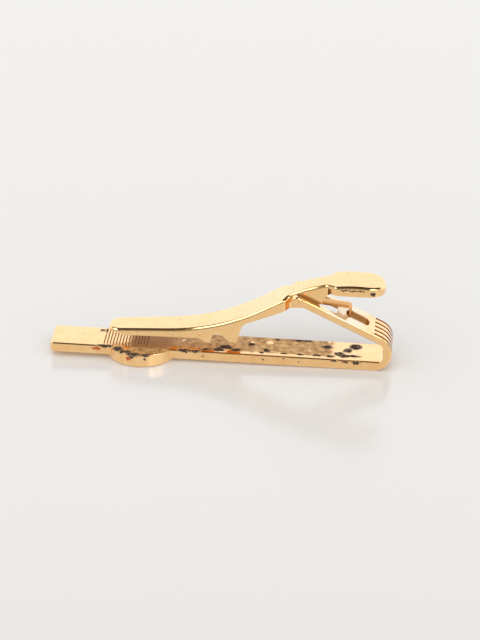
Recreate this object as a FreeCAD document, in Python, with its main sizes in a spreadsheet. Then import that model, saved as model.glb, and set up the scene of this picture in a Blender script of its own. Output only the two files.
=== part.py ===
import FreeCAD, Part
import math
import os

import Sketcher

# A gold-plated tie clip that lies on its front. X runs along the bar, from its free end to the fold,
# Y across it, and Z up from the face of the medallion.

# Name, value in millimetres (angles in degrees) and what it measures.
SIZES = (
    ("overall_length", 58.0, "bar from its free end to the outside of the fold"),
    ("bar_width", 6.6, "width of the strip"),
    ("bar_thickness", 1.7, "thickness of the bar"),
    ("bar_corner", 0.5, "round of the free end's corners, in plan"),
    ("edge_round", 0.25, "round of the strip's edges"),
    ("lobe_diameter", 12.0, "round lobe that carries the medallion"),
    ("lobe_setback", 15.4, "free end to the lobe's centre"),
    ("serration_start", 9.1, "free end to the first serration"),
    ("serration_count", 15, "serrations across the inner face"),
    ("serration_pitch", 0.52, "one serration to the next"),
    ("serration_width", 0.34, "mouth of a serration"),
    ("serration_depth", 0.16, "depth of a serration"),
    ("serration_margin", 0.4, "plain land beside the serrations"),
    ("bend_wall", 1.5, "thickness of the fold"),
    ("bend_gap", 3.0, "clear height inside the fold, at its wall"),
    ("outer_round_low", 3.1, "outside of the fold, at the bar"),
    ("outer_round_high", 3.4, "outside of the fold, at the leg"),
    ("inner_round_low", 0.6, "inside of the fold, at the bar"),
    ("inner_round_high", 1.0, "inside of the fold, at the leg"),
    ("leg_angle", 25.2, "rise of the return leg"),
    ("leg_thickness", 1.3, "thickness of the return leg"),
    ("reed_count", 5, "grooves round the fold"),
    ("reed_pitch", 1.38, "one groove to the next"),
    ("reed_width", 0.55, "width of a groove"),
    ("reed_depth", 0.35, "depth of a groove"),
    ("reed_reach", 3.1, "outside of the fold back to the grooves' ends"),
    ("pivot_setback", 15.4, "outside of the fold to the pin's axis"),
    ("knuckle_reach", 1.8, "pin's axis to the prongs' ends"),
    ("knuckle_round", 0.9, "upper round of a prong's end"),
    ("knuckle_lip", 0.3, "lower round of a prong's end"),
    ("knuckle_drop", 1.06, "how far a prong's end hooks down"),
    ("knuckle_hook", 0.94, "length of that hook"),
    ("knuckle_hook_round", 1.8, "round under that hook"),
    ("fork_gap", 4.25, "gap between the prongs"),
    ("fork_reach", 5.9, "pin's axis to the fork's root"),
    ("fork_round", 0.3, "corners of the fork's root"),
    ("bridge_length", 1.5, "fork's root to the window"),
    ("window_length", 3.95, "window along the bar"),
    ("window_round", 1.2, "corners of the window"),
    ("medallion_thickness", 0.55, "medallion's rim"),
    ("medallion_round", 0.2, "edges of the rim"),
    ("rim_width", 1.0, "width of the rim"),
    ("field_recess", 0.2, "depth of the plain field inside the rim"),
    ("pin_diameter", 0.8, "pivot pin"),
    ("pin_clearance", 0.05, "pin to the lever's holes, all round"),
    ("head_diameter", 1.3, "peened ends of the pin"),
    ("head_height", 0.18, "how far the peened ends stand proud"),
    ("sheet_thickness", 0.6, "metal of the lever"),
    ("plate_round", 0.5, "upper edges of the lever"),
    ("jaw_reach", 32.85, "pin's axis to the jaw's tip"),
    ("jaw_width", 4.6, "width of the lever at the jaw's tip"),
    ("arm_width", 6.4, "width of the lever where the arm's walls end"),
    ("jaw_corner", 1.9, "corners of the jaw's tip, in plan"),
    ("jaw_height", 2.73, "top of the jaw's tip above the bar"),
    ("jaw_angle", 4.2, "rise of the jaw at rest"),
    ("jaw_wall_gap", 0.7, "end of the jaw's walls to the prongs"),
    ("throat_round", 35.0, "sweep from the jaw into the arm"),
    ("arm_rise", 2.23, "top of the arm's line above the pin's axis"),
    ("arm_angle", 30.8, "rise of the arm at rest"),
    ("wall_depth", 2.27, "depth of the arm's walls at their end"),
    ("arm_edge_angle", 23.7, "rise of those walls' lower edge"),
    ("toe_setback", 1.7, "jaw's tip to the start of its walls"),
    ("toe_length", 1.3, "slope at the start of the walls"),
    ("toe_gap", 1.85, "lower edge of the walls above the bar, at the toe"),
    ("notch_height", 3.5, "top of the notch above the bar"),
    ("heel_setback", 10.0, "pin's axis to the heel of the second tooth"),
    ("heel_round", 2.0, "sweep from that heel into the arm's walls"),
    ("corner_round", 0.2, "small corners of the lever's walls"),
    ("neck_clearance", 0.1, "neck to each prong"),
    ("neck_blend", 0.9, "length over which the plate narrows to the neck"),
    ("neck_blend_round", 0.7, "rounds of that narrowing"),
    ("cheek_reach", 4.05, "pin's axis to the cheeks' edge"),
    ("cheek_slant", 0.75, "how far that edge leans back towards its foot"),
    ("cheek_depth", 1.35, "pin's axis to the cheeks' lower edge"),
    ("cheek_foot", 1.4, "pin's axis to where that edge turns up"),
    ("cheek_lift", 0.95, "how far it turns up"),
    ("cheek_round", 1.0, "round of that turn"),
    ("thumb_reach", 13.9, "pin's axis to the end of the thumb tab"),
    ("thumb_width", 6.4, "width of the thumb tab"),
    ("thumb_corner", 3.0, "corners of the thumb tab, in plan"),
    ("thumb_bend", 3.92, "pin's axis to the corner of arm and thumb tab"),
    ("thumb_round", 25.0, "sweep from the arm into the thumb tab"),
    ("thumb_angle", 8.3, "fall of the thumb tab towards its nose"),
    ("nose_length", 0.7, "length of the turned-down nose"),
    ("nose_angle", 40.0, "fall of the nose"),
    ("nose_round", 1.5, "round of the nose"),
    ("flange_setback", 0.65, "cheeks' edge to the thumb tab's flanges"),
    ("flange_rise", 1.78, "flanges' lower edge above the pin's axis"),
    ("flange_lift", 0.05, "rise of that edge towards the nose"),
    ("flange_round", 0.4, "lower corner of a flange where it turns in to the neck"),
    ("flange_turn", 0.8, "length over which a flange turns in to the neck"),
    ("web_drop", 0.6, "fall of the wall's lower edge from a flange to a cheek"),
    ("spring_width", 1.8, "width of the leaf spring"),
    ("spring_thickness", 0.35, "strip of the leaf spring"),
    ("spring_contact", 5.6, "pin's axis to where the spring presses"),
    ("spring_gap", 0.06, "spring to the lever's underside at rest"),
    ("spring_seat_gap", 0.2, "spring's hook to the middle of the window's rounded end"),
    ("spring_pin_gap", 0.1, "spring to the pin that it goes round"),
    ("spring_turn_round", 0.75, "rounds of that turn"),
    ("spring_arm_angle", 5.5, "fall of the spring's lower arm to its hook"),
    ("spring_hook_round", 0.25, "inside round of the hook"),
    ("spring_hook_depth", 0.8, "how far the hook enters the window"),
    ("spring_hook_lean", 0.38, "how far the hook leans back on its way down"),
    ("window_side_gap", 0.6, "spring to each side of the window"),
    ("cut_overrun", 1.0, "how far a cut runs past what it cuts"),
)

# Lower edge of the jaw's walls from the toe to the heel: along that run, height and round as shares of
# the notch's height above the bar. Heel of the flat, first tooth, notch and second tooth.
TOOTH_SHARES = (
    (0.622, 0.65, 0.12),
    (0.725, 0.41, 0.04),
    (0.752, 0.95, 0.24),
    (0.823, 0.93, 0.22),
    (0.895, 0.57, 0.16),
    (0.958, 0.54, 0.04),
)

# Faces that turn by more than this meet at an edge, and a normal that rises by more than this looks up.
SHARP_ANGLE = math.radians(25)
LEVEL = 0.3

# Points nearer than this are one point.
SAME_POINT = 1e-6

doc = FreeCAD.newDocument("TieClip")
sheet = doc.addObject("Spreadsheet::Sheet", "Sizes")
for row, (alias, value, meaning) in enumerate(SIZES, start=1):
    sheet.set(f"A{row}", alias)
    sheet.set(f"B{row}", str(value))
    sheet.setAlias(f"B{row}", alias)
    sheet.set(f"C{row}", meaning)
doc.recompute()


def size(alias):
    """One driving dimension, as a plain number."""
    return float(sheet.get(alias))


# Places along X and Z that several pieces share.
inner_face = size("medallion_thickness") + size("bar_thickness")
bend_x = size("overall_length") - size("bend_wall")
pivot_x = size("overall_length") - size("pivot_setback")
knuckle_x = pivot_x - size("knuckle_reach")
fork_x = pivot_x + size("fork_reach")
window_x = fork_x + size("bridge_length")
leg_rise = math.tan(math.radians(size("leg_angle")))
leg_height = size("leg_thickness") / math.cos(math.radians(size("leg_angle")))


def leg_under(x):
    """Height of the leg's underside, which climbs from the fold's wall towards the pivot."""
    return inner_face + size("bend_gap") + (bend_x - x) * leg_rise


def leg_top(x):
    """Height of the leg's upper face."""
    return leg_under(x) + leg_height


pivot_z = (leg_under(pivot_x) + leg_top(pivot_x)) / 2

# Places along the lever: jaw's tip, start of its walls, toe, heel, end of its walls, narrowing to the
# neck, cheeks' edge, flanges and nose.
tip_x = pivot_x - size("jaw_reach")
wall_start = tip_x + size("toe_setback")
toe_x = wall_start + size("toe_length")
heel_x = pivot_x - size("heel_setback")
wall_end = knuckle_x - size("jaw_wall_gap")
neck_x = wall_end - size("neck_blend") / 2
cheek_x = pivot_x + size("cheek_reach")
flange_x = cheek_x + size("flange_setback")
nose_x = pivot_x + size("thumb_reach")

# The neck fits in the fork, and the spring in its window.
neck_width = size("fork_gap") - 2 * size("neck_clearance")
window_width = size("spring_width") + 2 * size("window_side_gap")


def at(u, v):
    """A point in a sketch."""
    return FreeCAD.Vector(u, v, 0)


def heading(degrees):
    """Unit vector at an angle above the sketch's first axis."""
    return at(math.cos(math.radians(degrees)), math.sin(math.radians(degrees)))


def left_of(direction):
    """The direction turned a quarter turn to the left."""
    return at(-direction.y, direction.x)


def crossing(point, along, other, other_along):
    """Where two lines meet, each given by a point and a direction."""
    across = left_of(other_along)
    return point + along * ((other - point).dot(across) / along.dot(across))


def round_lengths(corners, closed):
    """Tangent length of each corner's round, shortened where two rounds would meet on one edge."""
    count = len(corners)
    lengths = []
    for index, (point, radius) in enumerate(corners):
        inside = closed or 0 < index < count - 1
        before = corners[index - 1][0] - point
        after = corners[(index + 1) % count][0] - point
        lengths.append(radius / math.tan(before.getAngle(after) / 2) if inside and radius else 0)
    limited = list(lengths)
    for index in range(count if closed else count - 1):
        following = (index + 1) % count
        edge = (corners[following][0] - corners[index][0]).Length
        wanted = lengths[index] + lengths[following]
        if wanted > edge:
            limited[index] = min(limited[index], lengths[index] * edge / wanted)
            limited[following] = min(limited[following], lengths[following] * edge / wanted)
    return limited


def trace(corners, closed=False):
    """Lines and arcs through (point, radius) corners, each piece as (start, end, centre or None)."""
    count = len(corners)
    turns = []
    for index, reach in enumerate(round_lengths(corners, closed)):
        point = corners[index][0]
        if not reach:
            turns.append((point, point, None))
            continue
        before = (corners[index - 1][0] - point).normalize()
        after = (corners[(index + 1) % count][0] - point).normalize()
        half = before.getAngle(after) / 2
        centre = point + (before + after).normalize() * (reach / math.cos(half))
        turns.append((point + before * reach, point + after * reach, centre))
    pieces = []
    for index, (start, end, centre) in enumerate(turns):
        if index or closed:
            pieces.append((turns[index - 1][1], start, None))
        pieces.append((start, end, centre))
    return [piece for piece in pieces if not piece[0].isEqual(piece[1], SAME_POINT)]


def moved_aside(corners, distance):
    """An open run of (point, radius) corners moved to its left, so that its rounds stay concentric."""
    points = [point for point, _ in corners]
    runs = [(end - start).normalize() for start, end in zip(points, points[1:])]
    moved = [(points[0] + left_of(runs[0]) * distance, 0)]
    for point, before, after, (_, radius) in zip(points[1:], runs, runs[1:], corners[1:]):
        start = point + left_of(before) * distance
        end = point + left_of(after) * distance
        turn = math.copysign(1, left_of(before).dot(after))
        moved.append((crossing(start, before, end, after), radius - turn * distance))
    moved.append((points[-1] + left_of(runs[-1]) * distance, 0))
    return moved


def backwards(pieces):
    """The same pieces in the opposite direction."""
    return [(end, start, centre) for start, end, centre in reversed(pieces)]


def joined(*chains):
    """Chains of pieces made one closed outline, with a line across each gap."""
    outline = []
    for chain, following in zip(chains, chains[1:] + chains[:1]):
        outline.extend(chain)
        outline.append((chain[-1][1], following[0][0], None))
    return [piece for piece in outline if not piece[0].isEqual(piece[1], SAME_POINT)]


def arc_middle(start, end, centre):
    """The point half way along an arc of less than half a turn."""
    return centre + ((start + end) / 2 - centre).normalize() * (start - centre).Length


def height_on(pieces, x):
    """Height of a run of pieces, which goes along +X, at a place on it."""
    for start, end, centre in pieces:
        if not start.x - SAME_POINT <= x <= end.x + SAME_POINT:
            continue
        if centre is None:
            return start.y + (end.y - start.y) * (x - start.x) / (end.x - start.x)
        rise = math.sqrt((start - centre).Length ** 2 - (x - centre.x) ** 2)
        return centre.y + math.copysign(rise, start.y + end.y - 2 * centre.y)
    raise ValueError(f"nothing of this run lies at {x}")


def between(pieces, low, high):
    """The stretch of a run of pieces from one place along +X to another."""
    stretch = []
    for start, end, centre in pieces:
        if end.x > low and start.x < high:
            first = at(max(start.x, low), height_on([(start, end, centre)], max(start.x, low)))
            last = at(min(end.x, high), height_on([(start, end, centre)], min(end.x, high)))
            stretch.append((first, last, centre))
    return stretch


def new_body(label):
    """A body drawn from the bar's free end, and placed so that the part's middle is at X 0."""
    body = doc.addObject("PartDesign::Body", label)
    body.Label = label
    body.setExpression("Placement.Base.x", "-Sizes.overall_length / 2")
    return body


def add_sketch(body, name, role, *outlines):
    """A sketch on one of the body's origin planes, with closed outlines of lines and arcs."""
    sketch = body.newObject("Sketcher::SketchObject", name)
    plane = next(feature for feature in body.Origin.OriginFeatures if feature.Role == role)
    sketch.AttachmentSupport = [(plane, "")]
    sketch.MapMode = "FlatFace"
    for outline in outlines:
        ends = []
        for start, end, centre in outline:
            clockwise = centre is not None and left_of(start - centre).dot(end - start) < 0
            first, last = (end, start) if clockwise else (start, end)
            if centre is None:
                curve = Part.LineSegment(first, last)
            else:
                curve = Part.Arc(first, arc_middle(first, last, centre), last)
            number = sketch.addGeometry(curve)
            ends.append((number, 2, 1) if clockwise else (number, 1, 2))
        for before, after in zip(ends, ends[1:] + ends[:1]):
            sketch.addConstraint(Sketcher.Constraint("Coincident", before[0], before[2], after[0], after[1]))
    return sketch


def add_circle(sketch, x, y, diameter):
    """A circle in a sketch, with its diameter bound to a size."""
    number = sketch.addGeometry(Part.Circle(at(x, y), FreeCAD.Vector(0, 0, 1), size("pin_diameter")))
    for name, distance in (("DistanceX", x), ("DistanceY", y)):
        sketch.addConstraint(Sketcher.Constraint(name, number, 3, distance))
    bound = sketch.addConstraint(Sketcher.Constraint("Diameter", number, size("pin_diameter")))
    sketch.setExpression(f"Constraints[{bound}]", diameter)


def add_extrusion(body, kind, name, sketch, length):
    """A pad or pocket to both sides of its sketch, with its whole length bound to sizes."""
    feature = body.newObject(kind, name)
    feature.Profile = sketch
    feature.SideType = "Symmetric"
    feature.setExpression("Length", length)
    return feature


def add_cut_up(body, name, corners):
    """A pocket through the leg alone: from a plan outline inside the fold, upwards."""
    sketch = add_sketch(body, name + "_plan", "XY_Plane", trace(corners, closed=True))
    sketch.setExpression(
        "AttachmentOffset.Base.z", "Sizes.medallion_thickness + Sizes.bar_thickness + Sizes.bend_gap")
    pocket = body.newObject("PartDesign::Pocket", name)
    pocket.Profile = sketch
    pocket.Type = "ThroughAll"
    pocket.Reversed = True


def add_revolution(body, name, sketch):
    """A full turn of a half section about its sketch's upright axis."""
    feature = body.newObject("PartDesign::Revolution", name)
    feature.Profile = sketch
    feature.ReferenceAxis = (sketch, ["V_Axis"])


def add_pattern(body, name, pocket, axis, count, pitch):
    """Copies of a pocket in a row, which becomes the body's tip."""
    pattern = body.newObject("PartDesign::LinearPattern", name)
    pattern.Originals = [pocket]
    pattern.Direction = (pocket.Profile[0], [axis])
    pattern.Mode = "Spacing"
    pattern.setExpression("Occurrences", count)
    pattern.setExpression("Offset", pitch)
    body.Tip = pattern


def add_fillet(body, name, base, wanted, radius):
    """A round on those edges of the base for which wanted(edge, normals of its two faces) holds."""
    doc.recompute()
    picked = []
    for number, edge in enumerate(base.Shape.Edges, start=1):
        middle = edge.valueAt((edge.FirstParameter + edge.LastParameter) / 2)
        faces = base.Shape.ancestorsOfType(edge, Part.Face)
        normals = [face.normalAt(*face.Surface.parameter(middle)) for face in faces]
        if len(normals) == 2 and wanted(edge, *normals):
            picked.append(f"Edge{number}")
    fillet = body.newObject("PartDesign::Fillet", name)
    fillet.Base = (base, picked)
    fillet.setExpression("Radius", radius)
    return fillet


def is_sharp(edge, normal, other):
    """Whether two faces meet at an angle."""
    return normal.getAngle(other) > SHARP_ANGLE


def is_end_corner(edge, normal, other):
    """Whether an edge is an upright corner of the bar's free end."""
    upright = abs(normal.z) + abs(other.z) < LEVEL
    return upright and is_sharp(edge, normal, other) and edge.CenterOfMass.x < size("bar_corner")


def is_upper(edge, normal, other):
    """Whether an edge lies between an upper face and an upright one."""
    return max(normal.z, other.z) > LEVEL and abs(min(normal.z, other.z)) < LEVEL


def add_strip(body):
    """The bent strip: bar, fold and return leg, with its edges rounded."""
    length = size("overall_length")
    face = size("medallion_thickness")
    hook_x = knuckle_x + size("knuckle_hook")
    corners = [
        (at(0, face), 0),
        (at(length, face), size("outer_round_low")),
        (at(length, leg_top(length)), size("outer_round_high")),
        (at(knuckle_x, leg_top(knuckle_x)), size("knuckle_round")),
        (at(knuckle_x, leg_under(knuckle_x) - size("knuckle_drop")), size("knuckle_lip")),
        (at(hook_x, leg_under(hook_x)), size("knuckle_hook_round")),
        (at(bend_x, leg_under(bend_x)), size("inner_round_high")),
        (at(bend_x, inner_face), size("inner_round_low")),
        (at(0, inner_face), 0),
    ]
    side = add_sketch(body, "strip_side", "XZ_Plane", trace(corners, closed=True))
    strip = add_extrusion(body, "PartDesign::Pad", "strip", side, "Sizes.bar_width")
    ends = add_fillet(body, "free_end_corners", strip, is_end_corner, "Sizes.bar_corner")
    add_fillet(body, "strip_edges", ends, is_sharp, "Sizes.edge_round")


def add_lobe(body):
    """The round lobe of the bar, rounded on its inner face alone."""
    face = size("medallion_thickness")
    radius = size("lobe_diameter") / 2
    corners = [
        (at(0, face), 0),
        (at(radius, face), 0),
        (at(radius, inner_face), size("edge_round")),
        (at(0, inner_face), 0),
    ]
    section = add_sketch(body, "lobe_section", "XZ_Plane", trace(corners, closed=True))
    section.setExpression("AttachmentOffset.Base.x", "Sizes.lobe_setback")
    add_revolution(body, "lobe", section)


def add_fork_and_window(body):
    """The leg's cuts: the gap between the prongs, the spring's window and the pin's bore."""
    half_gap = size("fork_gap") / 2
    mouth_x = knuckle_x - size("cut_overrun")
    add_cut_up(body, "fork", [
        (at(mouth_x, -half_gap), 0),
        (at(fork_x, -half_gap), size("fork_round")),
        (at(fork_x, half_gap), size("fork_round")),
        (at(mouth_x, half_gap), 0),
    ])
    half_width = window_width / 2
    window_end = window_x + size("window_length")
    add_cut_up(body, "window", [
        (at(window_x, -half_width), size("window_round")),
        (at(window_end, -half_width), size("window_round")),
        (at(window_end, half_width), size("window_round")),
        (at(window_x, half_width), size("window_round")),
    ])
    bore = add_sketch(body, "pin_bore_side", "XZ_Plane")
    add_circle(bore, pivot_x, pivot_z, "Sizes.pin_diameter")
    add_extrusion(body, "PartDesign::Pocket", "pin_bore", bore, "Sizes.bar_width + Sizes.cut_overrun")


def add_serrations(body):
    """Grooves across the lobe's inner face, which grip the cloth."""
    start = size("serration_start")
    half_mouth = size("serration_width") / 2
    above = inner_face + size("cut_overrun")
    groove = [
        (at(start - half_mouth, above), 0),
        (at(start - half_mouth, inner_face), 0),
        (at(start, inner_face - size("serration_depth")), 0),
        (at(start + half_mouth, inner_face), 0),
        (at(start + half_mouth, above), 0),
    ]
    side = add_sketch(body, "serration_side", "XZ_Plane", trace(groove, closed=True))
    width = "Sizes.bar_width - 2 * Sizes.serration_margin"
    serration = add_extrusion(body, "PartDesign::Pocket", "serration", side, width)
    add_pattern(body, "serrations", serration, "H_Axis", "Sizes.serration_count", "Sizes.serration_pitch")


def add_reeds(body):
    """Grooves that follow the outside of the fold, side by side."""
    length = size("overall_length")
    face = size("medallion_thickness")
    reed_x = length - size("reed_reach")
    skin = [
        (at(reed_x, leg_top(reed_x)), 0),
        (at(length, leg_top(length)), size("outer_round_high")),
        (at(length, face), size("outer_round_low")),
        (at(length - size("outer_round_low"), face), 0),
    ]
    floor = trace(moved_aside(skin, -size("reed_depth")))
    outside = trace(moved_aside(skin, size("cut_overrun")))
    side = add_sketch(body, "reed_side", "XZ_Plane", joined(floor, backwards(outside)))
    side.setExpression("AttachmentOffset.Base.z", "-Sizes.reed_pitch * (Sizes.reed_count - 1) / 2")
    reed = add_extrusion(body, "PartDesign::Pocket", "reed", side, "Sizes.reed_width")
    add_pattern(body, "reeds", reed, "N_Axis", "Sizes.reed_count", "Sizes.reed_pitch")


def make_front_bar():
    """The strip: bar, lobe, reeded fold and the return leg with its fork and window."""
    body = new_body("front_bar")
    add_strip(body)
    add_lobe(body)
    add_fork_and_window(body)
    add_serrations(body)
    add_reeds(body)
    return body


def make_medallion():
    """The bare plate on the front of the lobe: a plain field inside a raised rim."""
    body = new_body("medallion")
    radius = size("lobe_diameter") / 2
    field = radius - size("rim_width")
    section = [
        (at(0, size("field_recess")), 0),
        (at(field, size("field_recess")), 0),
        (at(field, 0), size("medallion_round")),
        (at(radius, 0), size("medallion_round")),
        (at(radius, size("medallion_thickness")), 0),
        (at(0, size("medallion_thickness")), 0),
    ]
    sketch = add_sketch(body, "medallion_section", "XZ_Plane", trace(section, closed=True))
    sketch.setExpression("AttachmentOffset.Base.x", "Sizes.lobe_setback")
    add_revolution(body, "medallion_plate", sketch)
    return body


def make_pivot_pin():
    """The pin through both prongs, with a peened dome at each end."""
    body = new_body("pivot_pin")
    radius = size("pin_diameter") / 2
    head = size("head_diameter") / 2
    grip = size("bar_width") / 2
    top = grip + size("head_height")
    section = [
        (at(0, -top), 0),
        (at(head, -top), size("head_height")),
        (at(head, -grip), 0),
        (at(radius, -grip), 0),
        (at(radius, grip), 0),
        (at(head, grip), 0),
        (at(head, top), size("head_height")),
        (at(0, top), 0),
    ]
    sketch = add_sketch(body, "pin_section", "XY_Plane", trace(section, closed=True))
    sketch.AttachmentOffset = FreeCAD.Placement(FreeCAD.Vector(pivot_x, 0, pivot_z), FreeCAD.Rotation())
    add_revolution(body, "pin", sketch)
    return body


def lever_top():
    """Corners of the lever's upper face from the jaw's tip to the thumb tab's nose, seen from the side."""
    tip = at(tip_x, inner_face + size("jaw_height"))
    jaw = heading(size("jaw_angle"))
    arm = heading(size("arm_angle"))
    over_pin = at(pivot_x, pivot_z + size("arm_rise"))
    bend = over_pin + arm * (size("thumb_bend") / arm.x)
    thumb = heading(-size("thumb_angle"))
    nose = bend + thumb * ((nose_x - size("nose_length") - bend.x) / thumb.x)
    fall = heading(-size("nose_angle"))
    end = nose + fall * (size("nose_length") / fall.x)
    return [
        (tip, 0),
        (crossing(tip, jaw, over_pin, arm), size("throat_round")),
        (bend, size("thumb_round")),
        (nose, size("nose_round")),
        (end, 0),
    ]


def lever_underside(top):
    """Underside of the lever's plate, from a little before the jaw's tip to the nose."""
    before_tip = top[0][0] - heading(size("jaw_angle")) * size("cut_overrun")
    return trace(moved_aside([(before_tip, 0)] + top[1:], -size("sheet_thickness")))


def tooth_corners():
    """Lower edge of the jaw's walls between the toe and the heel: flat, teeth and notch."""
    height = size("notch_height")
    run = heel_x - toe_x
    return [
        (at(toe_x + along * run, inner_face + up * height), bend * height)
        for along, up, bend in TOOTH_SHARES
    ]


def lever_lower_edge(top, under):
    """Lower edge of the lever seen from the side, from the nose back to the jaw's tip."""
    end = top[-1][0]
    arm_edge = heading(size("arm_edge_angle"))
    arm_end = at(wall_end, height_on(trace(top), wall_end) - size("wall_depth"))
    cheek_low = pivot_z - size("cheek_depth")
    flange_low = pivot_z + size("flange_rise")
    small = size("corner_round")

    def under_at(x):
        return at(x, height_on(under, x))

    return [
        (end, 0),
        (at(end.x, flange_low + size("flange_lift")), small),
        (at(flange_x, flange_low), size("flange_round")),
        (at(cheek_x, flange_low - size("web_drop")), small),
        (at(cheek_x - size("cheek_slant"), cheek_low + size("cheek_lift")), small),
        (at(pivot_x + size("cheek_foot"), cheek_low), size("cheek_round")),
        (arm_end, size("cheek_round")),
        (arm_end + arm_edge * ((heel_x - wall_end) / arm_edge.x), size("heel_round")),
        *reversed(tooth_corners()),
        (at(toe_x, inner_face + size("toe_gap")), small),
        (under_at(wall_start), 0),
        (under_at(tip_x), 0),
    ]


def lever_plan(start_x):
    """Corners of the lever's edge on one side, in plan: jaw, arm, neck, thumb tab and nose."""
    jaw_half = size("jaw_width") / 2
    arm_half = size("arm_width") / 2
    neck_half = neck_width / 2
    thumb_half = size("thumb_width") / 2
    blend = size("neck_blend")
    bend = size("neck_blend_round")
    start = jaw_half + (arm_half - jaw_half) * (start_x - tip_x) / (neck_x - tip_x)
    return [
        (at(start_x, 0), 0),
        (at(start_x, start), size("jaw_corner")),
        (at(neck_x, arm_half), bend),
        (at(neck_x + blend, neck_half), bend),
        (at(cheek_x, neck_half), bend),
        (at(flange_x + size("flange_turn"), thumb_half), bend),
        (at(nose_x, thumb_half), size("thumb_corner")),
        (at(nose_x, 0), 0),
    ]


def trim_to_plan(body, name, plan):
    """Cuts away what lies outside a plan, which is given for one side and is the same on the other."""
    past = size("cut_overrun")
    half = size("thumb_width") / 2 + past
    low = plan[0][0].x - past
    high = plan[-1][0].x + 2 * past
    border = [(at(low, half), 0), (at(high, half), 0), (at(high, -half), 0), (at(low, -half), 0)]
    other_side = [(at(point.x, -point.y), radius) for point, radius in reversed(plan[1:-1])]
    outlines = (trace(border, closed=True), trace(plan[1:-1] + other_side, closed=True))
    trim = body.newObject("PartDesign::Pocket", name)
    trim.Profile = add_sketch(body, name + "_plan", "XY_Plane", *outlines)
    trim.SideType = "Symmetric"
    trim.Type = "ThroughAll"
    return trim


def make_lever_core(under):
    """What the channel's plate and walls enclose: it is cut from the lever, and open at the jaw's tip."""
    body = new_body("lever_core")
    start = under[0][0].x
    end = nose_x - size("sheet_thickness")
    base = [(at(end, inner_face), at(start, inner_face), None)]
    side = add_sketch(body, "core_side", "XZ_Plane", joined(between(under, start, end), base))
    add_extrusion(body, "PartDesign::Pad", "core_block", side, "Sizes.thumb_width")
    trim_to_plan(body, "core_trim", moved_aside(lever_plan(start), -size("sheet_thickness")))
    return body


def make_lever_blank(top, under):
    """The lever before it is hollowed: side view, trimmed to its plan, rounded above, holed for the pin."""
    body = new_body("lever_blank")
    edges = joined(trace(top), trace(lever_lower_edge(top, under)))
    side = add_sketch(body, "lever_side", "XZ_Plane", edges)
    add_extrusion(body, "PartDesign::Pad", "blank", side, "Sizes.thumb_width")
    trim = trim_to_plan(body, "trim", lever_plan(tip_x))
    add_fillet(body, "upper_edges", trim, is_upper, "Sizes.plate_round")
    holes = add_sketch(body, "pin_hole_side", "XZ_Plane")
    add_circle(holes, pivot_x, pivot_z, "Sizes.pin_diameter + 2 * Sizes.pin_clearance")
    add_extrusion(body, "PartDesign::Pocket", "pin_holes", holes, "Sizes.fork_gap")
    return body


def make_clamp_lever(top, under):
    """The stamped channel: a bent plate with down-turned walls."""
    lever = doc.addObject("Part::Cut", "clamp_lever")
    lever.Base = make_lever_blank(top, under)
    lever.Tool = make_lever_core(under)
    return lever


def make_leaf_spring(under):
    """The bent strip: an upper arm under the thumb tab, a turn round the pin, a lower arm and its hook."""
    body = new_body("leaf_spring")
    thickness = size("spring_thickness")
    clear = size("pin_diameter") / 2 + size("spring_pin_gap") + thickness
    contact_x = pivot_x + size("spring_contact")
    contact = at(contact_x, height_on(under, contact_x) - size("spring_gap"))
    pin = at(pivot_x, pivot_z)
    span = contact - pin
    upper_angle = math.degrees(math.atan2(span.y, span.x) - math.asin(clear / span.Length))
    lower_arm = heading(-size("spring_arm_angle"))
    under_pin = pin + heading(-90 - size("spring_arm_angle")) * clear
    behind_pin = at(pivot_x - clear, pivot_z)
    hook_x = window_x + size("spring_seat_gap")
    elbow_x = hook_x + size("spring_hook_lean")
    outer = [
        (contact, 0),
        (crossing(contact, heading(upper_angle), behind_pin, heading(90)), size("spring_turn_round")),
        (crossing(under_pin, lower_arm, behind_pin, heading(90)), size("spring_turn_round")),
        (under_pin + lower_arm * ((elbow_x - under_pin.x) / lower_arm.x), size("spring_hook_round")),
        (at(hook_x, leg_top(hook_x) - size("spring_hook_depth")), 0),
    ]
    inner = moved_aside(outer, thickness)
    side = add_sketch(body, "spring_side", "XZ_Plane", joined(trace(outer), backwards(trace(inner))))
    add_extrusion(body, "PartDesign::Pad", "strip_of_spring", side, "Sizes.spring_width")
    return body


front_bar = make_front_bar()
medallion = make_medallion()
plate_top = lever_top()
plate_under = lever_underside(plate_top)
clamp_lever = make_clamp_lever(plate_top, plate_under)
leaf_spring = make_leaf_spring(plate_under)
pivot_pin = make_pivot_pin()
doc.recompute()

for item in doc.Objects:
    if "Invalid" in item.State or "Error" in item.State:
        raise RuntimeError(f"{item.Label} failed: {item.State}")

pieces = (front_bar, medallion, clamp_lever, leaf_spring, pivot_pin)
for piece in pieces:
    shape = piece.Shape
    if shape.isNull() or not shape.isValid() or len(shape.Solids) != 1:
        raise RuntimeError(f"{piece.Label} is not one sound solid")
    print(f"{piece.Label}: {shape.Volume:.2f} mm3")

os.makedirs("parts", exist_ok=True)
for piece in pieces:
    piece.Shape.exportStep(os.path.join("parts", piece.Label + ".step"))
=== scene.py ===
import math
from functools import partial

import bpy
import numpy as np
from bpy.props import FloatProperty, FloatVectorProperty, PointerProperty
from bpy.types import Operator, Panel, PropertyGroup
from mathutils import Matrix, Vector


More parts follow.
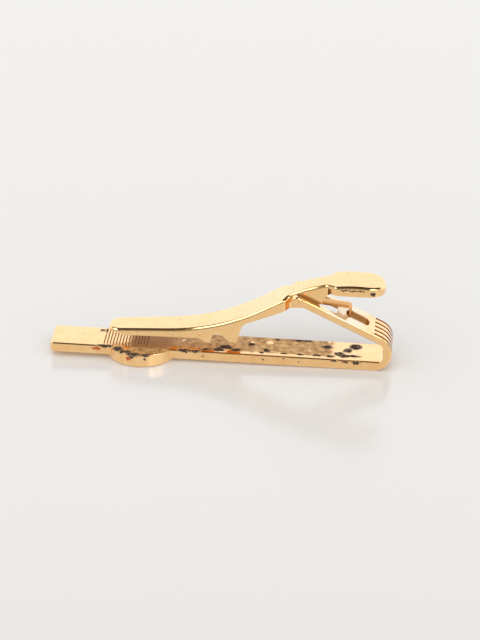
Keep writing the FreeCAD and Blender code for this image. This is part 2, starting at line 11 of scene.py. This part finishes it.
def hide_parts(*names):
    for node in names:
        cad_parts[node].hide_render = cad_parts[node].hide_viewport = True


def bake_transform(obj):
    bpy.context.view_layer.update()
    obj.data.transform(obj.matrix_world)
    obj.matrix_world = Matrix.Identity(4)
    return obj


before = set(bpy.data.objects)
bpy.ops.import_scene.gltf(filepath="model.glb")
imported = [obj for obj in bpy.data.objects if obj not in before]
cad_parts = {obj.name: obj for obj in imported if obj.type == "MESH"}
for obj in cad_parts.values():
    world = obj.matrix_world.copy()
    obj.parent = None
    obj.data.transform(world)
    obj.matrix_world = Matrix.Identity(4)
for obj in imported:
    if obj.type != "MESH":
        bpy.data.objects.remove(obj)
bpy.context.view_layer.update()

bl_info = {
    "name": "Gold-plated tie clip",
    "version": (1, 0, 0),
    "blender": (4, 5, 0),
    "location": "View3D > Sidebar > Tie clip",
    "description": "Finishes a tie clip of gilt brass and sets it on a pale studio table",
    "category": "Object",
}

MM = 0.001
# Places on the clip, in mm: the height of the bar's inner face and the middle of its lobe.
INNER_FACE = 2.25
LOBE_X = -13.6
# Upper face of the return leg: its height where x is 0, in mm, and its fall for each mm along the bar.
LEG_TOP = 19.628
LEG_FALL = 0.4706
# How finely curves are cut: steps in an arc, mm along a path, points round a section,
# and the sharpest edge that is still drawn smooth.
ARC_STEPS = 12
PATH_STEP = 0.12
SECTION_POINTS = 48
SMOOTH_ANGLE = math.radians(40)


def linear(code):
    """An sRGB hex colour as the linear red, green and blue that shaders use."""
    parts = [int(code[start:start + 2], 16) / 255 for start in (0, 2, 4)]
    return tuple(p / 12.92 if p <= 0.04045 else ((p + 0.055) / 1.055) ** 2.4 for p in parts)


# Sizes and colours

def colour_setting(name, code, description):
    """A colour that a user may change, given as an sRGB hex value."""
    return FloatVectorProperty(
        name=name, description=description, subtype="COLOR", size=3, min=0, max=1, default=linear(code))


class TieClipFinish(PropertyGroup):
    """Colours of the plate, of what age has left on it, and of painted shade and a painted pale patch."""

    plate: colour_setting("Plate", "FBCE86", "Gold plate where it is clean")
    plate_deep: colour_setting("Deep plate", "F2B864", "Gold plate where it is a little thicker")
    # Painted highlight: a pale patch painted on the return leg's top round the spring's hook, standing in for
    # a reflection of the bright room.
    plate_painted_pale: colour_setting("Worn plate", "FFE8C0", "Gold plate rubbed pale round the spring's hook")
    film: colour_setting("Film", "F4C784", "Dried film on the bar's inner face")
    # Also painted shade: the film under the jaw and the walls in the leg's window and fork are painted in
    # this dark colour.
    film_dark_and_shade: colour_setting("Dark film", "B07630", "The same film where it is thick")
    crust: colour_setting("Crust", "48321F", "Dark crust of corrosion")
    crust_pale: colour_setting("Pale crust", "8E8A78", "Grey-green grains in the crust")
    # Soil and painted shade: brown painted into grooves and corners where little space nearby is open.
    soil_and_shade: colour_setting("Soil", "7A5030", "Brown soil left in grooves and corners")
    strip: colour_setting("Strip", "DDA865", "Bronze strip of the spring")
    copper: colour_setting("Copper", "C8623A", "Copper strike where the gold has gone")


class TieClipSpring(PropertyGroup):
    """Sizes of the leaf spring's strip."""

    width: FloatProperty(
        name="Width", description="Width of the strip", unit="LENGTH", default=1.8 * MM)
    thickness: FloatProperty(
        name="Thickness", description="Thickness of the strip", unit="LENGTH", default=0.35 * MM)
    edge: FloatProperty(
        name="Edge", description="Radius of the strip's edges", unit="LENGTH", default=0.08 * MM)


class TieClipStage(PropertyGroup):
    """Table, light and camera."""

    azimuth: FloatProperty(
        name="Azimuth", description="Camera to the right of square on", unit="ROTATION",
        default=math.radians(4.41))
    elevation: FloatProperty(
        name="Elevation", description="Camera above the table", unit="ROTATION",
        default=math.radians(27.75))
    roll: FloatProperty(
        name="Roll", description="Turn of the camera about its view", unit="ROTATION",
        default=math.radians(1.38))
    distance: FloatProperty(
        name="Distance", description="Camera to its target", unit="LENGTH", default=472.6 * MM)
    target: FloatVectorProperty(
        name="Target", description="Point in the middle of the picture", subtype="TRANSLATION",
        unit="LENGTH", default=(3.02 * MM, 0, 7.01 * MM))
    lens: FloatProperty(
        name="Lens", description="Focal length on a 36 mm sensor, in mm", default=156.9)
    backdrop: colour_setting("Backdrop", "F0F0EE", "White room behind the table")
    table: colour_setting("Table", "EFEDEA", "Glossy white table")
    table_plain: colour_setting("Plain table", "FBFAF8", "Table without shadows, seen in part by metal")
    table_size: FloatProperty(
        name="Table size", description="Side of the table", unit="LENGTH", default=4.0)


# Nodes

def add_node(tree, kind, inputs=None, **settings):
    """Adds a node, sets its properties, sets or links its inputs and returns its first output in use."""
    made = tree.nodes.new("ShaderNode" + kind)
    for name, value in settings.items():
        setattr(made, name, value)
    for key, value in (inputs or {}).items():
        named = [socket for socket in made.inputs if socket.enabled and socket.name == key]
        socket = named[0] if named else made.inputs[key]
        if isinstance(value, bpy.types.NodeSocket):
            tree.links.new(value, socket)
        elif socket.type == "RGBA" and len(value) == 3:
            socket.default_value = (*value, 1)
        else:
            socket.default_value = value
    return next((socket for socket in made.outputs if socket.enabled), None)


def open_material(name):
    """An empty material, the function that adds its nodes, and the place on the piece in mm."""
    material = bpy.data.materials.new(name)
    material.use_nodes = True
    material.node_tree.nodes.clear()
    add = partial(add_node, material.node_tree)
    local = add("TexCoord").node.outputs["Object"]
    place = add("VectorMath", {0: local, "Scale": 1 / MM}, operation="SCALE")
    return material, add, place


def close_material(add, surface):
    """Joins a surface to its shader: relief, in mm, turns the normal, and lacquer is the coat."""
    normal = add("Bump", {"Height": surface["relief"], "Distance": MM, "Strength": 1.0})
    shader = add("BsdfPrincipled", {
        "Base Color": surface["colour"],
        "Roughness": surface["roughness"],
        "Metallic": surface["metallic"],
        "Coat Weight": surface["lacquer"],
        "Coat Roughness": 0.08,
        # A strong coat, so that faces seen at a glancing angle turn pale and upright ones stay deep.
        "Coat IOR": 2.0,
        "Normal": normal,
    })
    add("OutputMaterial", {"Surface": shader})


def cover(add, below, mask, layer):
    """Lays a layer over a surface: each of its values shows as far as the mask says."""
    surface = dict(below)
    for channel, value in layer.items():
        kind = "RGBA" if channel == "colour" else "FLOAT"
        surface[channel] = add("Mix", {"Factor": mask, "A": below[channel], "B": value}, data_type=kind)
    return surface


def ragged(add, place, width, reach):
    """The place moved aside by up to reach, in blots of that width in mm, so that edges come out ragged."""
    cloud = add("TexNoise", {"Vector": place, "Scale": 1 / width, "Detail": 3.0}).node.outputs["Color"]
    centred = add("VectorMath", {0: cloud, 1: (0.5, 0.5, 0.5)}, operation="SUBTRACT")
    swing = (2 * reach, 2 * reach, 2 * reach)
    return add("VectorMath", {0: centred, 1: swing, 2: place}, operation="MULTIPLY_ADD")


def blots(add, place, spots):
    """One mask of soft ellipsoids, one for each (centre, radii) in mm."""
    mask = 0.0
    for centre, radii in spots:
        aside = add("VectorMath", {0: place, 1: centre}, operation="SUBTRACT")
        shares = add("VectorMath", {0: aside, 1: radii}, operation="DIVIDE")
        out = add("VectorMath", {0: shares}, operation="LENGTH").node.outputs["Value"]
        spot = add("MapRange", {"Value": out, "From Min": 1.25, "From Max": 0.7},
                   interpolation_type="SMOOTHSTEP")
        mask = add("Math", {0: mask, 1: spot}, operation="MAXIMUM")
    return mask


# Materials

def gilt_surface(add, place, finish):
    """Gold plate on stamped brass under clear lacquer: warm, bright, with a faint grain and swell."""
    cloud = add("TexNoise", {"Vector": place, "Scale": 1 / 4.0, "Detail": 6.0, "Roughness": 0.75})
    mottle = add("MapRange", {"Value": cloud, "From Min": 0.3, "From Max": 0.7})
    grain = add("TexNoise", {"Vector": place, "Scale": 1 / 0.3, "Detail": 2.0})
    swell = add("TexNoise", {"Vector": place, "Scale": 1 / 4.0, "Detail": 1.0})
    swell_height = add("Math", {0: swell, 1: 0.012}, operation="MULTIPLY")
    return {
        "colour": add("Mix", {"Factor": mottle, "A": finish.plate, "B": finish.plate_deep}, data_type="RGBA"),
        "roughness": add("MapRange", {"Value": grain, "To Min": 0.07, "To Max": 0.17}),
        "metallic": 1.0,
        "lacquer": 1.0,
        "relief": add("Math", {0: grain, 1: 0.003, 2: swell_height}, operation="MULTIPLY_ADD"),
    }


def pitted(add, place, finish, below):
    """The same plate with pinholes, where dark corrosion shows through."""
    cells = add("TexVoronoi", {"Vector": place, "Scale": 1 / 1.1, "Randomness": 1.0}).node
    chosen = add("Math", {0: cells.outputs["Color"], 1: 0.5}, operation="GREATER_THAN")
    hole = add("MapRange", {"Value": cells.outputs["Distance"], "From Min": 0.12, "From Max": 0.05})
    mask = add("Math", {0: chosen, 1: hole}, operation="MULTIPLY")
    layer = {"colour": finish.film_dark_and_shade, "roughness": 0.6, "lacquer": 0.0, "relief": -0.01}
    return cover(add, below, mask, layer)


def crusted(add, place, finish, below, mask):
    """Dark crust of corrosion with paler grains, rough and raised."""
    grains = add("TexNoise", {"Vector": place, "Scale": 1 / 0.35, "Detail": 3.0})
    pale = add("MapRange", {"Value": grains, "From Min": 0.66, "From Max": 0.75})
    kept = add("MapRange", {"Value": grains, "From Min": 0.3, "From Max": 0.4})
    mask = add("Math", {0: mask, 1: kept}, operation="MULTIPLY")
    layer = {
        "colour": add("Mix", {"Factor": pale, "A": finish.crust, "B": finish.crust_pale}, data_type="RGBA"),
        "roughness": 0.8,
        "metallic": 0.1,
        "lacquer": 0.0,
        "relief": add("Math", {0: grains, 1: 0.1}, operation="MULTIPLY"),
    }
    return cover(add, below, mask, layer)


# Crust on the bar: centre and radii of each spot, in mm.
BAR_CRUST = (
    ((22.8, 1.7, INNER_FACE), (1.1, 1.0, 0.5)),
    ((21.5, 0.2, INNER_FACE), (0.8, 0.75, 0.5)),
    ((20.1, -1.1, INNER_FACE), (0.9, 0.7, 0.5)),
    ((20.9, -1.8, INNER_FACE), (0.9, 0.5, 0.5)),
    ((22.4, -1.6, INNER_FACE), (1.5, 0.35, 0.5)),
    ((17.9, 1.1, INNER_FACE), (1.0, 0.6, 0.5)),
    ((13.0, 2.8, INNER_FACE), (0.8, 0.5, 0.5)),
    ((14.6, 2.8, INNER_FACE), (0.8, 0.45, 0.5)),
    ((9.4, 2.7, INNER_FACE), (0.5, 0.3, 0.5)),
    ((5.1, 0.4, INNER_FACE), (0.6, 0.6, 0.5)),
    ((7.8, -1.4, INNER_FACE), (0.6, 0.6, 0.5)),
    ((7.0, -2.3, INNER_FACE), (0.5, 0.3, 0.5)),
    ((10.7, -2.2, INNER_FACE), (0.6, 0.3, 0.5)),
    ((13.5, -2.2, INNER_FACE), (0.6, 0.3, 0.5)),
    ((16.3, -2.1, INNER_FACE), (0.8, 0.35, 0.5)),
    ((18.6, -2.2, INNER_FACE), (0.7, 0.4, 0.5)),
    ((-0.4, -2.2, INNER_FACE), (1.0, 0.6, 0.5)),
    ((0.8, -1.1, INNER_FACE), (1.1, 0.7, 0.5)),
    ((2.6, -1.9, INNER_FACE), (0.9, 0.6, 0.5)),
    ((-6.1, -3.0, INNER_FACE), (1.1, 0.45, 0.4)),
    ((-4.5, -3.1, INNER_FACE), (1.2, 0.4, 0.4)),
    ((-2.4, -2.3, INNER_FACE), (1.0, 0.4, 0.4)),
    ((-17.3, -4.0, INNER_FACE), (0.9, 0.8, 0.5)),
    ((-16.0, -4.9, INNER_FACE), (1.0, 0.6, 0.5)),
    ((-14.6, -5.6, INNER_FACE), (1.3, 0.5, 0.5)),
    ((-12.4, -5.7, INNER_FACE), (0.8, 0.4, 0.4)),
    ((-19.6, -3.1, INNER_FACE), (1.4, 0.4, 0.4)),
    ((-20.4, 2.3, INNER_FACE), (0.8, 0.4, 0.4)),
    ((19.4, -3.3, 2.05), (0.6, 0.3, 0.25)),
    ((21.2, -3.3, 2.0), (0.7, 0.3, 0.25)),
    ((23.1, -3.3, 1.9), (0.8, 0.3, 0.35)),
    ((-3.0, -3.3, 1.25), (0.3, 0.3, 0.14)),
    ((7.2, -3.3, 1.4), (0.2, 0.3, 0.14)),
    ((10.7, -3.3, 1.9), (0.22, 0.3, 0.16)),
    ((13.3, -3.3, 1.4), (0.16, 0.3, 0.12)),
    ((-14.8, -5.9, 1.75), (0.4, 0.3, 0.2)),
    ((-12.5, -5.9, 1.5), (0.3, 0.3, 0.18)),
)
BAR_RED = (
    ((-21.1, -3.3, 1.6), (0.8, 0.4, 0.35)),
    ((-15.3, -5.8, 1.35), (0.5, 0.6, 0.35)),
)
LEVER_CRUST = (
    ((20.6, -3.15, 15.4), (0.7, 0.4, 0.16)),
    ((22.0, -3.15, 15.4), (0.9, 0.4, 0.14)),
    ((23.4, -3.15, 15.4), (0.7, 0.4, 0.14)),
    ((25.4, -3.1, 14.85), (0.5, 0.5, 0.45)),
)


def soil_and_shade_in_hollows(add, finish, below, most):
    """Brown soil and painted shade in a piece's own grooves and corners, where little of the space nearby is
    open.
    """
    nearby = add("AmbientOcclusion", {"Distance": 0.6 * MM}, samples=6, only_local=True).node
    openness = nearby.outputs["AO"]
    mask = add("MapRange", {"Value": openness, "From Min": 0.62, "From Max": 0.3, "To Max": most},
               interpolation_type="SMOOTHSTEP")
    layer = {"colour": finish.soil_and_shade, "roughness": 0.5, "metallic": 0.4, "lacquer": 0.0}
    return cover(add, below, mask, layer)


def within(add, limits):
    """One mask from several limits: each has a value, where that lies outside and where it lies inside."""
    mask = 1.0
    for value, outside, inside in limits:
        edge = add("MapRange", {"Value": value, "From Min": outside, "From Max": inside})
        mask = add("Math", {0: mask, 1: edge}, operation="MULTIPLY")
    return mask


def leg_window_shade_and_pale_patch(add, place, finish, below):
    """The return leg: painted shade inside its window and fork, and a painted pale patch on its top round the
    spring's hook that stands in for a reflection.
    """
    along, across, height = add("SeparateXYZ", {"Vector": place}).node.outputs
    top = add("Math", {0: along, 1: -LEG_FALL, 2: LEG_TOP}, operation="MULTIPLY_ADD")
    under = add("Math", {0: top, 1: height}, operation="SUBTRACT")
    aside = add("Math", {0: across}, operation="ABSOLUTE")
    # Painted shade: the walls of the window and fork are painted dark brown.
    walls = within(add, (
        (under, 0.1, 0.3),
        (under, 1.45, 1.3),
        (aside, 2.3, 2.2),
        (along, 16.8, 17.4),
        (along, 25.2, 25.1),
    ))
    # Painted highlight: the top round the spring's hook is painted pale, as if it mirrored the bright room.
    painted_pale_patch = within(add, (
        (under, 0.2, 0.1),
        (under, -0.3, -0.2),
        (along, 16.5, 18.5),
        (along, 25.0, 22.5),
    ))
    soil_and_shade = {"colour": finish.film_dark_and_shade, "roughness": 0.3, "metallic": 0.9, "lacquer": 0.3}
    pale = {"colour": finish.plate_painted_pale, "roughness": 0.25, "metallic": 0.5, "lacquer": 1.0}
    return cover(add, cover(add, below, painted_pale_patch, pale), walls, soil_and_shade)


def filmed(add, place, finish, below):
    """A tan film of dried lacquer on the bar's inner face, ragged, with gaps, with painted shade under the
    jaw.
    """
    torn = ragged(add, place, width=1.3, reach=0.8)
    along, across, _ = add("SeparateXYZ", {"Vector": torn}).node.outputs
    height = add("SeparateXYZ", {"Vector": place}).node.outputs["Z"]
    from_lobe = add("VectorMath", {0: torn, 1: (1, 1, 0), 2: (-LOBE_X, 0, 0)}, operation="MULTIPLY_ADD")
    out = add("VectorMath", {0: from_lobe}, operation="LENGTH").node.outputs["Value"]
    gaps = add("TexNoise", {"Vector": place, "Scale": 1 / 2.4, "Detail": 3.0})
    cloud = add("TexNoise", {"Vector": place, "Scale": 1 / 1.1, "Detail": 5.0, "Roughness": 0.6})
    edges = {}
    for name, value, none, full in (
        ("low", height, INNER_FACE - 0.4, INNER_FACE - 0.2),
        ("high", height, INNER_FACE + 0.6, INNER_FACE + 0.3),
        ("left", along, -21.2, -20.4),
        ("right", along, 19.6, 18.2),
        ("near", across, -2.5, -1.9),
        ("lobe", out, 6.1, 5.5),
        ("whole", gaps, 0.7, 0.62),
        ("open", along, -14.8, -16.2),
        ("land", height, INNER_FACE - 0.1, INNER_FACE - 0.03),
        ("thick", cloud, 0.34, 0.72),
        ("shade", along, -5.0, -10.0),
        ("beneath", across, -3.8, -2.6),
    ):
        edges[name] = add("MapRange", {"Value": value, "From Min": none, "From Max": full},
                          interpolation_type="SMOOTHSTEP")
    mask = edges["near"]
    for name in ("left", "right", "whole"):
        mask = add("Math", {0: mask, 1: edges[name]}, operation="MULTIPLY")
    mask = add("Math", {0: mask, 1: edges["lobe"]}, operation="MAXIMUM")
    bare_land = add("Math", {0: edges["open"], 1: edges["land"]}, operation="MULTIPLY")
    covered = add("Math", {0: 1.0, 1: bare_land}, operation="SUBTRACT")
    for part in (edges["low"], edges["high"], covered):
        mask = add("Math", {0: mask, 1: part}, operation="MULTIPLY")
    # Painted shade: under the jaw the film takes the dark colour, where the jaw shades the bar.
    under_jaw = add("Math", {0: edges["shade"], 1: edges["beneath"]}, operation="MULTIPLY")
    shade = add("Math", {0: under_jaw, 1: 0.85}, operation="MULTIPLY")
    thick = add("Math", {0: edges["thick"], 1: shade}, operation="MAXIMUM")
    layer = {
        "colour": add("Mix", {"Factor": thick, "A": finish.film, "B": finish.film_dark_and_shade}, data_type="RGBA"),
        "roughness": 0.42,
        "metallic": 0.5,
        "lacquer": 0.0,
        "relief": add("Math", {0: cloud, 1: 0.06}, operation="MULTIPLY"),
    }
    return cover(add, below, mask, layer)


def tarnished_gold(finish):
    """Gold plate of the bar: pits, soil and painted shade in its grooves, a tan film with painted shade under
    the jaw, painted shade and a painted pale patch on the return leg, dark crust and spots of bare copper.
    """
    material, add, place = open_material("gold_plate_tarnished")
    surface = pitted(add, place, finish, gilt_surface(add, place, finish))
    surface = filmed(add, place, finish, surface)
    surface = soil_and_shade_in_hollows(add, finish, surface, most=0.85)
    surface = leg_window_shade_and_pale_patch(add, place, finish, surface)
    torn = ragged(add, place, width=0.6, reach=0.4)
    copper = {"colour": finish.copper, "roughness": 0.5, "metallic": 0.6, "lacquer": 0.0}
    surface = cover(add, surface, blots(add, torn, BAR_RED), copper)
    surface = crusted(add, place, finish, surface, blots(add, torn, BAR_CRUST))
    close_material(add, surface)
    return material


def lever_gold(finish):
    """Gold plate of the lever: a few pits, soil and painted shade in its corners and crust along the thumb
    tab's edge.
    """
    material, add, place = open_material("gold_plate_lever")
    surface = pitted(add, place, finish, gilt_surface(add, place, finish))
    surface = soil_and_shade_in_hollows(add, finish, surface, most=0.35)
    torn = ragged(add, place, width=0.6, reach=0.4)
    surface = crusted(add, place, finish, surface, blots(add, torn, LEVER_CRUST))
    close_material(add, surface)
    return material


def spring_bronze(finish):
    """Satin bronze strip: warmer and duller than the plate round it."""
    material, add, place = open_material("spring_bronze_satin")
    surface = gilt_surface(add, place, finish)
    surface = cover(add, surface, 1.0, {"colour": finish.strip, "roughness": 0.3, "lacquer": 0.0})
    # Soil and painted shade in the strip's own bends and corners.
    surface = soil_and_shade_in_hollows(add, finish, surface, most=0.6)
    close_material(add, surface)
    return material


def polished_gold(finish, name):
    """Clean gold plate, bright and warm all over, for pieces that show no wear."""
    material, add, place = open_material(name)
    close_material(add, gilt_surface(add, place, finish))
    return material


# Shapes

def rounded_path(corners):
    """Points along straight runs joined by tangent arcs, through (x, z, radius) corners in mm."""
    points = np.array([corner[:2] for corner in corners])
    path = [points[:1]]
    for before, corner, after, (_, _, radius) in zip(points, points[1:], points[2:], corners[1:]):
        back = (before - corner) / np.linalg.norm(before - corner)
        on = (after - corner) / np.linalg.norm(after - corner)
        half = math.acos(np.clip(back @ on, -1, 1)) / 2
        centre = corner + (back + on) / np.linalg.norm(back + on) * radius / math.sin(half)
        start = corner + back * radius / math.tan(half) - centre
        end = corner + on * radius / math.tan(half) - centre
        share = np.linspace(0, 1, ARC_STEPS)[:, None]
        turn = math.pi - 2 * half
        arc = (np.sin((1 - share) * turn) * start + np.sin(share * turn) * end) / math.sin(turn)
        path.append(centre + arc)
    path.append(points[-1:])
    return np.concatenate(path)


def spaced(path):
    """The same path with points at even steps."""
    along = np.concatenate([[0], np.cumsum(np.linalg.norm(np.diff(path, axis=0), axis=1))])
    places = np.linspace(0, along[-1], int(along[-1] / PATH_STEP) + 1)
    return np.stack([np.interp(places, along, path[:, axis]) for axis in (0, 1)], axis=1)


def grid_piece(name, surface, closed_across):
    """A mesh object from a grid of points in mm, (rows, columns, 3), closed across its columns and capped
    when closed_across is set.
    """
    rows, columns, _ = surface.shape
    row, column = np.meshgrid(np.arange(rows - 1), np.arange(columns), indexing="ij")
    following = (column + 1) % columns
    quads = np.stack([
        row * columns + column, row * columns + following,
        (row + 1) * columns + following, (row + 1) * columns + column], axis=-1).reshape(-1, 4)
    if not closed_across:
        quads = quads[following.reshape(-1) != 0]
    faces = quads.tolist()
    if closed_across:
        faces.append(list(range(columns))[::-1])
        faces.append(list(range((rows - 1) * columns, rows * columns)))
    mesh = bpy.data.meshes.new(name)
    mesh.from_pydata((surface.reshape(-1, 3) * MM).tolist(), [], faces)
    mesh.validate()
    mesh.polygons.foreach_set("use_smooth", np.ones(len(mesh.polygons), bool))
    mesh.set_sharp_from_angle(angle=SMOOTH_ANGLE)
    piece = bpy.data.objects.new(name, mesh)
    bpy.context.scene.collection.objects.link(piece)
    return piece


# Outer face of the spring, seen from the side, from under the thumb tab round the pin to the hook:
# x, z and bend radius in mm.
SPRING_LINE = (
    (19.2, 15.1446, 0.0),
    (12.75, 13.1346, 0.75),
    (12.75, 11.7371, 0.75),
    (21.58, 10.8869, 0.25),
    (21.2, 8.8513, 0.0),
)


def strip_surface(line, width, thickness, edge):
    """A rounded strip carried along a path: each point is the path plus the section's two offsets."""
    path = spaced(rounded_path(line))
    tangent = np.gradient(path, axis=0)
    tangent /= np.linalg.norm(tangent, axis=1)[:, None]
    inwards = np.stack([-tangent[:, 1], tangent[:, 0]], axis=1)
    angle = np.linspace(0, 2 * math.pi, SECTION_POINTS, endpoint=False)
    corner = np.stack([np.cos(angle), np.sin(angle)])
    flat = np.array([width / 2 - edge, thickness / 2 - edge])[:, None]
    across, depth = np.sign(np.round(corner, 9)) * flat + corner * edge
    depth = depth + thickness / 2
    surface = np.empty((len(path), len(angle), 3))
    surface[:, :, 0] = path[:, :1] + inwards[:, :1] * depth
    surface[:, :, 1] = across
    surface[:, :, 2] = path[:, 1:] + inwards[:, 1:] * depth
    return surface


# Operators

class TIECLIP_OT_front_bar(Operator):
    """Give the bar and its medallion their finish"""

    bl_idname = "tieclip.front_bar"
    bl_label = "Front bar"

    def execute(self, context):
        finish = context.scene.tieclip_finish
        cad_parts["front_bar"].material_slots[0].material = tarnished_gold(finish)
        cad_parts["medallion"].material_slots[0].material = polished_gold(finish, "gold_plate_medallion")
        return {"FINISHED"}


class TIECLIP_OT_clamp_lever(Operator):
    """Give the clamp lever its finish"""

    bl_idname = "tieclip.clamp_lever"
    bl_label = "Clamp lever"

    def execute(self, context):
        finish = context.scene.tieclip_finish
        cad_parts["clamp_lever"].material_slots[0].material = lever_gold(finish)
        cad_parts["pivot_pin"].material_slots[0].material = polished_gold(finish, "gold_plate_pin")
        return {"FINISHED"}


class TIECLIP_OT_leaf_spring(Operator):
    """Make the leaf spring, which bends between the bar and the lever"""

    bl_idname = "tieclip.leaf_spring"
    bl_label = "Leaf spring"

    def execute(self, context):
        sizes = context.scene.tieclip_spring
        surface = strip_surface(SPRING_LINE, sizes.width / MM, sizes.thickness / MM, sizes.edge / MM)
        spring = grid_piece("leaf_spring_strip", surface, closed_across=True)
        spring.data.materials.append(spring_bronze(context.scene.tieclip_finish))
        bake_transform(spring)
        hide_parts("leaf_spring")
        return {"FINISHED"}


class TIECLIP_OT_stage(Operator):
    """Set the table, the light and the camera"""

    bl_idname = "tieclip.stage"
    bl_label = "Stage"

    def execute(self, context):
        stage = context.scene.tieclip_stage
        lay_table(stage)
        light_world(context.scene, stage)
        for softbox in SOFTBOXES:
            light_panel(*softbox)
        place_camera(context.scene, stage)
        context.scene.view_settings.view_transform = "Standard"
        return {"FINISHED"}


# Stage

# The clip lies on the medallion's rim and on the fold, so the table slopes a little under it.
TABLE_TOUCH_X = -7.8
TABLE_SLOPE = 0.0163
# Name of each softbox, its place in m, the direction of its second side, both sides in m, and its radiance.
SOFTBOXES = (
    ("softbox_left", (-0.53, -0.2, 0.68), (0.14, -0.88, -0.39), (0.42, 0.8), 3.4),
    ("softbox_right", (0.43, -0.46, 0.64), (-0.22, -0.85, -0.47), (0.32, 0.65), 4.2),
    ("softbox_low", (0.68, -0.38, 0.44), (0.45, 0.16, -0.62), (0.42, 0.42), 1.6),
)


def lay_table(stage):
    """A glossy white table through the two places that the clip lies on."""
    half = stage.table_size / 2 / MM
    side = np.array([-half, half])
    surface = np.empty((2, 2, 3))
    surface[:, :, 0] = side[None, :]
    surface[:, :, 1] = side[:, None]
    surface[:, :, 2] = (side[None, :] - TABLE_TOUCH_X) * TABLE_SLOPE
    table = grid_piece("table", surface, closed_across=False)
    # Polished white acrylic: a soft mirror that keeps the clip's shadow.
    material, add, _ = open_material("white_acrylic_polished")
    shader = add("BsdfPrincipled", {
        "Base Color": stage.table,
        "Roughness": 0.18,
        "IOR": 1.7,
    })
    # Metal sees the table in part as plain white, so that the clip's own shadow does not dull
    # its upright faces.
    glossy = add("LightPath").node.outputs["Is Glossy Ray"]
    share = add("Math", {0: glossy, 1: 0.4}, operation="MULTIPLY")
    plain = add("Emission", {"Color": stage.table_plain, "Strength": 1.0})
    surface = add("MixShader", {0: share, 1: shader, 2: plain})
    add("OutputMaterial", {"Surface": surface})
    table.data.materials.append(material)


def light_world(scene, stage):
    """A white room for the camera, soft light for dull surfaces, and for metal walls under a dim ceiling."""
    world = bpy.data.worlds.new("studio")
    scene.world = world
    world.use_nodes = True
    world.node_tree.nodes.clear()
    # The room differs from one kind of ray to another, so only rays that leave a surface sample it.
    world.cycles.sampling_method = "NONE"
    add = partial(add_node, world.node_tree)
    way = add("TexCoord").node.outputs["Generated"]
    _, back, up = add("SeparateXYZ", {"Vector": way}).node.outputs
    # The walls are brightest behind the clip, where the faces that look up mirror them.
    walls = add("MapRange", {
        "Value": back,
        "From Min": -0.6,
        "From Max": 0.6,
        "To Min": 0.45,
        "To Max": 1.27,
    }, interpolation_type="SMOOTHSTEP")
    low = add("MapRange", {"Value": up, "From Min": 0.66, "From Max": 0.53}, interpolation_type="SMOOTHSTEP")
    ceiling = (0.08, 0.075, 0.07)
    room = add("Mix", {"Factor": low, "A": ceiling, "B": walls}, data_type="RGBA")
    rays = add("LightPath").node.outputs
    # Dull surfaces get more light from the front than from behind, as from a window beside the camera.
    soft = add("MapRange", {"Value": back, "From Min": 0.6, "From Max": -0.6, "To Min": 0.5, "To Max": 1.38})
    lit = add("Mix", {"Factor": rays["Is Diffuse Ray"], "A": room, "B": soft}, data_type="RGBA")
    shown = add("Mix", {"Factor": rays["Is Camera Ray"], "A": lit, "B": stage.backdrop}, data_type="RGBA")
    add("OutputWorld", {"Surface": add("Background", {"Color": shown})})


def light_panel(name, place, along, sides, radiance):
    """An oblong softbox that faces the clip, with its second side turned along a direction."""
    lamp = bpy.data.lights.new(name, "AREA")
    lamp.shape = "RECTANGLE"
    lamp.size, lamp.size_y = sides
    lamp.energy = radiance * math.pi * sides[0] * sides[1]
    away = Vector(place).normalized()
    across = Vector(along).cross(away).normalized()
    turn = Matrix((across, away.cross(across), away)).transposed()
    light = bpy.data.objects.new(name, lamp)
    light.matrix_world = Matrix.Translation(place) @ turn.to_4x4()
    # The panels make the bright lines on the metal's edges, and the room lights dull surfaces alone.
    light.visible_diffuse = False
    bpy.context.scene.collection.objects.link(light)


def place_camera(scene, stage):
    """A camera on a sphere about its target, rolled about its view."""
    level = math.cos(stage.elevation)
    outwards = Vector((
        math.sin(stage.azimuth) * level, -math.cos(stage.azimuth) * level, math.sin(stage.elevation)))
    turn = (-outwards).to_track_quat("-Z", "Y").to_matrix() @ Matrix.Rotation(stage.roll, 3, "Z")
    data = bpy.data.cameras.new("camera")
    data.lens = stage.lens
    data.clip_start = 10 * MM
    camera = bpy.data.objects.new("camera", data)
    camera.matrix_world = Matrix.Translation(Vector(stage.target) + outwards * stage.distance) @ turn.to_4x4()
    scene.collection.objects.link(camera)
    scene.camera = camera


class TIECLIP_PT_clip(Panel):
    """Lists the clip's pieces and the stage"""

    bl_idname = "TIECLIP_PT_clip"
    bl_label = "Tie clip"
    bl_space_type = "VIEW_3D"
    bl_region_type = "UI"
    bl_category = "Tie clip"

    def draw(self, context):
        for operator in OPERATORS:
            self.layout.operator(operator.bl_idname)


SETTINGS = {
    "tieclip_finish": TieClipFinish,
    "tieclip_spring": TieClipSpring,
    "tieclip_stage": TieClipStage,
}
OPERATORS = (TIECLIP_OT_front_bar, TIECLIP_OT_clamp_lever, TIECLIP_OT_leaf_spring, TIECLIP_OT_stage)
CLASSES = (*SETTINGS.values(), *OPERATORS, TIECLIP_PT_clip)


def register():
    """Adds the clip's settings, operators and panel to Blender."""
    for item in CLASSES:
        bpy.utils.register_class(item)
    for name, group in SETTINGS.items():
        setattr(bpy.types.Scene, name, PointerProperty(type=group))


def unregister():
    """Takes them out again."""
    for name in SETTINGS:
        delattr(bpy.types.Scene, name)
    for item in reversed(CLASSES):
        bpy.utils.unregister_class(item)


def main():
    """Makes every piece and the stage."""
    register()
    bpy.ops.tieclip.front_bar()
    bpy.ops.tieclip.clamp_lever()
    bpy.ops.tieclip.leaf_spring()
    bpy.ops.tieclip.stage()


if __name__ == "__main__":
    main()
